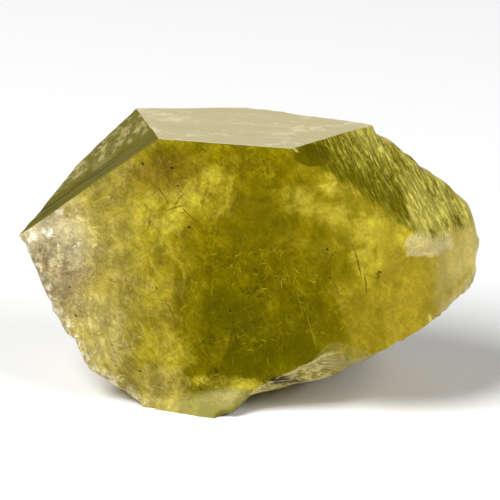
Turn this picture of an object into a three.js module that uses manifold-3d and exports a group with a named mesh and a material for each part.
// A single rough crystal of brazilianite, 30 mm long, resting on the flat cleavage
// that broke it off its matrix. Four natural faces cap it: a smooth top, a striated
// slope on the left, an etched slope on the right and stepped faces behind. The
// front, the two ends and the undercut right side are broken surfaces.
// Millimetres, +X to the right, +Y to the back, +Z up, origin at the middle of the base.
import * as THREE from "three";
import { mergeVertices } from "three/addons/utils/BufferGeometryUtils.js";
import Module from "manifold-3d";

const wasm = await Module();
wasm.setup();

// Driving dimensions
const LENGTH = 30;
const TOP_HEIGHT = 17.2;
const LEFT_END = -LENGTH / 2;
const RIGHT_END = LENGTH / 2;
const BASE_CENTRE = new THREE.Vector3(0, 8.03, 0);
const BLOCK_REACH = 24;
const WELD = 1e-4;

// Corners of the crystal, with y measured back from the foremost point of the base
const CORNER = {
  topFrontLeft: [-5.9, 6.4, TOP_HEIGHT],
  topFrontRight: [2.6, 4.5, TOP_HEIGHT],
  topRight: [8.1, 9.3, TOP_HEIGHT],
  topBackMiddle: [-0.4, 12.85, TOP_HEIGHT],
  topBackLeft: [-7.5, 12.6, TOP_HEIGHT],
  leftTip: [LEFT_END - 0.2, 6.8, 10.3],
  leftBrow: [-11.8, 10.6, 13.5],
  leftShoulder: [-12.3, 13.0, 9],
  leftBackKnee: [-11.2, 13.4, 3.5],
  leftWaist: [-13.55, 5.5, 6.8],
  leftKnee: [-10.65, 4.2, 2.1],
  leftFoot: [-8.0, 3.3, 0.5],
  leftEndBack: [-12.8, 12, 8],
  leftKneeBack: [-10.2, 12, 3],
  leftFootBack: [-8.9, 12, 0.9],
  backFoot: [0, 15.4, 4],
  backRightFoot: [9.7, 12.8, 5],
  rightShoulder: [13.8, 6.9, 13.5],
  rightShoulderBack: [11.9, 12, 6],
  rightBrow: [11.84, 1.5, 11.5],
  rightUpper: [14.9, 5.2, 12.1],
  rightTip: [RIGHT_END, 5.0, 10.0],
  rightLower: [14.7, 4.1, 8.1],
  rightHeel: [12.6, 1.3, 6.95],
  rightUpperBack: [13.4, 11, 11],
  rightLowerBack: [13.4, 11, 8],
  rightHeelBack: [12.6, 11, 5.4],
  frontCheek: [8.6, 1.2, 9.4],
  frontFoot: [-1.6, 1.4, 1.1],
  ridgeLeft: [1.6, 1.0, 2.5],
  ridgeMiddle: [4.9, 0.8, 4.4],
  ridgeEnd: [6.1, 0.6, 5],
  ridgeRight: [8.9, 0.0, 5.15],
  keelLeft: [3.3, 2.1, 1.85],
  keelRight: [6.6, 2.0, 2.7],
  keelBack: [3.3, 7.8, 0],
  undersideBack: [9.2, 12.5, 1.0],
  lobeLeft: [-5.9, 1.7, 0],
  lobeFoot: [-2.6, -0.2, 0],
  lobeBelly: [-1.1, 0.1, 0.3],
  lobeTop: [-1.7, 1.2, 1.2],
  lobeRight: [-0.35, 0.5, 1.05],
  lobeNotch: [0.2, 1.3, 1.65],
  lobeBack: [0.1, 4, 0.1],
  lobeRidge: [-1.2, 2.5, 2.2],
  baseMiddle: [0, 8, 0],
  baseRight: [1, 8, 0],
  baseBack: [0, 9, 0],
};

// Points inside the crystal and inside the lobe at its foot, and the blank of each
const BODY_MIDDLE = new THREE.Vector3(0, 8, 8.5);
const BODY_BLANK = new THREE.Vector3(LENGTH + 3, 22, TOP_HEIGHT + 4);
const LOBE_MIDDLE = new THREE.Vector3(-2.2, 2, 0.6);
const LOBE_BLANK = new THREE.Vector3(8, 5, 3);

// Repeatable noise

function hash(i, j, seed) {
  const s = Math.sin(i * 127.1 + j * 311.7 + seed * 74.7) * 43758.5453;
  return s - Math.floor(s);
}

function ease(t) {
  return t * t * (3 - 2 * t);
}

function ramp(from, to, value) {
  return ease(Math.min(1, Math.max(0, (value - from) / (to - from))));
}

// Smooth noise from -1 to 1, one lattice cell per unit.
function noise(u, v, seed) {
  const i = Math.floor(u);
  const j = Math.floor(v);
  const s = ease(u - i);
  const t = ease(v - j);
  const near = hash(i, j, seed) * (1 - s) + hash(i + 1, j, seed) * s;
  const far = hash(i, j + 1, seed) * (1 - s) + hash(i + 1, j + 1, seed) * s;
  return 2 * (near * (1 - t) + far * t) - 1;
}

// Two octaves of noise, with the given wavelength in millimetres.
function swell(u, v, wavelength, seed) {
  const a = u / wavelength;
  const b = v / wavelength;
  return 0.7 * noise(a, b, seed) + 0.3 * noise(2.1 * a, 2.1 * b, seed + 5);
}

// Shell-shaped scoops: 0 at the bottom of each, rising to ridges where they meet.
function scoops(u, v, size, seed) {
  const i = Math.floor(u / size);
  const j = Math.floor(v / size);
  let nearest = 9;
  for (let di = -1; di <= 1; di++) {
    for (let dj = -1; dj <= 1; dj++) {
      const cu = i + di + hash(i + di, j + dj, seed);
      const cv = j + dj + hash(i + di, j + dj, seed + 31);
      nearest = Math.min(nearest, (u / size - cu) ** 2 + (v / size - cv) ** 2);
    }
  }
  return Math.min(nearest, 1);
}

// Reliefs: height in millimetres above the plane at (u, v), u being along the grain

const RELIEF = {
  flat: () => 0,
  // Parallel growth grooves of uneven width and depth.
  striated: (u, v) => 0.1 * noise(u / 14, v / 0.62, 3) + 0.1 * noise(u / 22, v / 1.5, 4),
  // Low etch hillocks drawn out down the slope.
  etched: (u, v) => 0.12 * noise(u / 2.6, v / 0.8, 7) + 0.16 * swell(u, v, 6, 8),
  // Broad growth terraces.
  stepped: (u, v) => 0.3 * ramp(-0.15, 0.15, noise(u / 9, v / 3, 12)) - 0.15,
  // Hackly fracture: long swells cut by shell-shaped scoops.
  broken: (u, v) => 0.3 * swell(u, v, 7, 15) + 0.6 * (scoops(u, v, 4.2, 16) - 0.25),
  // The same with smaller scoops drawn out along the edge.
  wrinkled: (u, v) => 0.15 * swell(u, v, 5, 20) + 0.45 * (scoops(u / 2.2, v, 1.6, 21) - 0.15),
};

// Faces: three corners each, the direction of the grain, the corner that the face ends
// at along the grain, the relief, and the step of its grid along and across the grain
const BODY_FACES = [
  { through: ["topFrontLeft", "topFrontRight", "topRight"] },
  {
    through: ["topFrontLeft", "topBackLeft", "leftTip"],
    grain: ["leftTip", "topFrontLeft"],
    relief: "striated",
    step: [4, 0.31],
  },
  {
    through: ["topFrontRight", "topRight", "rightBrow"],
    grain: ["topRight", "rightUpper"],
    relief: "etched",
    step: [1.2, 0.5],
  },
  // The front, with a small turn at the cheek, and the right end
  {
    through: ["topFrontLeft", "topFrontRight", "frontFoot"],
    relief: "broken",
    step: [0.9, 0.9],
    calm: true,
  },
  { through: ["frontCheek", "ridgeRight", "rightBrow"], relief: "broken", step: [0.9, 0.9] },
  { through: ["rightBrow", "rightUpper", "rightHeel"], relief: "broken", step: [0.9, 0.9] },
  { through: ["rightUpper", "rightTip", "rightUpperBack"], relief: "broken", step: [1, 1] },
  { through: ["rightTip", "rightLower", "rightLowerBack"], relief: "broken", step: [1, 1] },
  { through: ["rightLower", "rightHeel", "rightHeelBack"], relief: "broken", step: [1, 1] },
  // The undercut below the ridge at the front
  {
    through: ["ridgeLeft", "ridgeMiddle", "keelRight"],
    grain: ["ridgeLeft", "ridgeMiddle"],
    until: "ridgeEnd",
    relief: "wrinkled",
    step: [0.8, 0.5],
  },
  {
    through: ["keelLeft", "keelRight", "keelBack"],
    grain: ["keelLeft", "keelRight"],
    relief: "wrinkled",
    step: [1, 0.8],
  },
  { through: ["ridgeRight", "rightHeel", "undersideBack"], relief: "wrinkled", step: [1, 0.8] },
  // The left end
  { through: ["leftTip", "leftWaist", "leftEndBack"], relief: "broken", step: [1, 1] },
  { through: ["leftWaist", "leftKnee", "leftKneeBack"], relief: "broken", step: [1, 1] },
  { through: ["leftKnee", "leftFoot", "leftFootBack"], relief: "broken", step: [1, 1] },
  // The natural faces behind
  {
    through: ["topBackLeft", "leftBrow", "leftShoulder"],
    grain: ["leftShoulder", "topBackLeft"],
    relief: "striated",
    step: [4, 0.31],
  },
  {
    through: ["leftBrow", "leftTip", "leftShoulder"],
    grain: ["leftTip", "leftBrow"],
    relief: "stepped",
    step: [1, 0.7],
  },
  {
    through: ["topBackLeft", "topBackMiddle", "backFoot"],
    grain: ["topBackLeft", "topBackMiddle"],
    relief: "stepped",
    step: [1, 0.7],
  },
  { through: ["leftShoulder", "leftBackKnee", "backFoot"], relief: "broken", step: [1, 1] },
  {
    through: ["topBackMiddle", "topRight", "backRightFoot"],
    grain: ["topRight", "backRightFoot"],
    relief: "striated",
    step: [4, 0.31],
  },
  { through: ["topRight", "rightShoulder", "rightShoulderBack"], relief: "stepped", step: [1, 0.7] },
  { through: ["baseMiddle", "baseRight", "baseBack"] },
];

const LOBE_FACES = [
  { through: ["lobeFoot", "lobeTop", "lobeNotch"] },
  { through: ["lobeBelly", "lobeTop", "lobeRight"] },
  { through: ["lobeLeft", "lobeFoot", "lobeTop"] },
  { through: ["lobeFoot", "lobeBelly", "lobeBack"] },
  { through: ["lobeBelly", "lobeRight", "lobeBack"] },
  { through: ["lobeRight", "lobeNotch", "lobeBack"] },
  { through: ["lobeTop", "lobeNotch", "lobeRidge"] },
  { through: ["baseMiddle", "baseRight", "baseBack"] },
];

function point(name) {
  return new THREE.Vector3(...CORNER[name]);
}

// A right-handed frame on the face: u along the grain, v across it, n away from the middle.
function frameOf(face, middle) {
  const [a, b, c] = face.through.map(point);
  const n = b.clone().sub(a).cross(c.clone().sub(a)).normalize();
  if (n.dot(middle.clone().sub(a)) > 0) n.negate();
  const [from, to] = (face.grain ?? face.through.slice(0, 2)).map(point);
  const u = to.sub(from);
  u.addScaledVector(n, -u.dot(n)).normalize();
  const origin = middle.clone().addScaledVector(n, n.dot(a.clone().sub(middle)));
  return { origin, u, v: n.clone().cross(u), n };
}

// The share of the relief kept at a height: a calm face has a straight top edge.
function keptRelief(face, height) {
  return face.calm ? 0.15 + 0.85 * ramp(0, 5, TOP_HEIGHT - height) : 1;
}

// A closed block that covers everything outside the face, its lower side carrying the relief.
function outside(face, middle) {
  const { origin, u, v, n } = frameOf(face, middle);
  const relief = RELIEF[face.relief ?? "flat"];
  const end = face.until ? u.dot(point(face.until).sub(origin)) : BLOCK_REACH;
  const length = end + BLOCK_REACH;
  const width = 2 * BLOCK_REACH;
  const [stepU, stepV] = face.step ?? [length, width];
  const cols = Math.ceil(length / stepU);
  const rows = Math.ceil(width / stepV);
  const sheet = new THREE.PlaneGeometry(length, width, cols, rows);
  sheet.translate(end - length / 2, 0, 0);
  const flat = sheet.attributes.position;
  const count = flat.count;
  const positions = new Float32Array(count * 2 * 3);
  const p = new THREE.Vector3();
  for (let i = 0; i < count; i++) {
    const a = flat.getX(i);
    const b = flat.getY(i);
    p.copy(origin).addScaledVector(u, a).addScaledVector(v, b);
    const height = relief(a, b) * keptRelief(face, p.z);
    p.addScaledVector(n, height).toArray(positions, i * 3);
    p.addScaledVector(n, BLOCK_REACH).toArray(positions, (count + i) * 3);
  }
  const triangles = [];
  for (let i = 0; i < sheet.index.count; i += 3) {
    const [a, b, c] = [0, 1, 2].map((k) => sheet.index.getX(i + k));
    triangles.push(c, b, a, count + a, count + b, count + c);
  }
  const wall = (a, b) => triangles.push(a, b, count + b, a, count + b, count + a);
  const last = rows * (cols + 1);
  for (let i = 0; i < cols; i++) {
    wall(i + 1, i);
    wall(last + i, last + i + 1);
  }
  for (let j = 0; j < rows; j++) {
    wall(j * (cols + 1), (j + 1) * (cols + 1));
    wall((j + 1) * (cols + 1) + cols, j * (cols + 1) + cols);
  }
  return solidFrom(positions, new Uint32Array(triangles));
}

function solidFrom(vertProperties, triVerts) {
  return new wasm.Manifold(new wasm.Mesh({ numProp: 3, vertProperties, triVerts }));
}

function solidOf(geometry) {
  geometry.deleteAttribute("normal");
  geometry.deleteAttribute("uv");
  const merged = mergeVertices(geometry, WELD);
  return solidFrom(merged.attributes.position.array, new Uint32Array(merged.index.array));
}

// What is left of a blank around the middle once the outside of every face is cut away.
function cutFrom(blank, middle, faces) {
  let solid = solidOf(new THREE.BoxGeometry(...blank).translate(...middle));
  for (const face of faces) solid = solid.subtract(outside(face, middle));
  return solid;
}

function geometryOf(solid) {
  const mesh = solid.getMesh();
  return new THREE.BufferGeometry()
    .setAttribute("position", new THREE.BufferAttribute(mesh.vertProperties, 3))
    .setIndex(new THREE.BufferAttribute(mesh.triVerts, 1));
}

const body = cutFrom(BODY_BLANK, BODY_MIDDLE, BODY_FACES);
const lobe = cutFrom(LOBE_BLANK, LOBE_MIDDLE, LOBE_FACES);
const crystal = new THREE.Mesh(
  geometryOf(body.add(lobe)).translate(...BASE_CENTRE.clone().negate()),
  new THREE.MeshStandardMaterial({ color: 0xa39a2e, roughness: 0.2, metalness: 0 }),
);
crystal.name = "crystal";

const group = new THREE.Group();
group.add(crystal);

export default group;
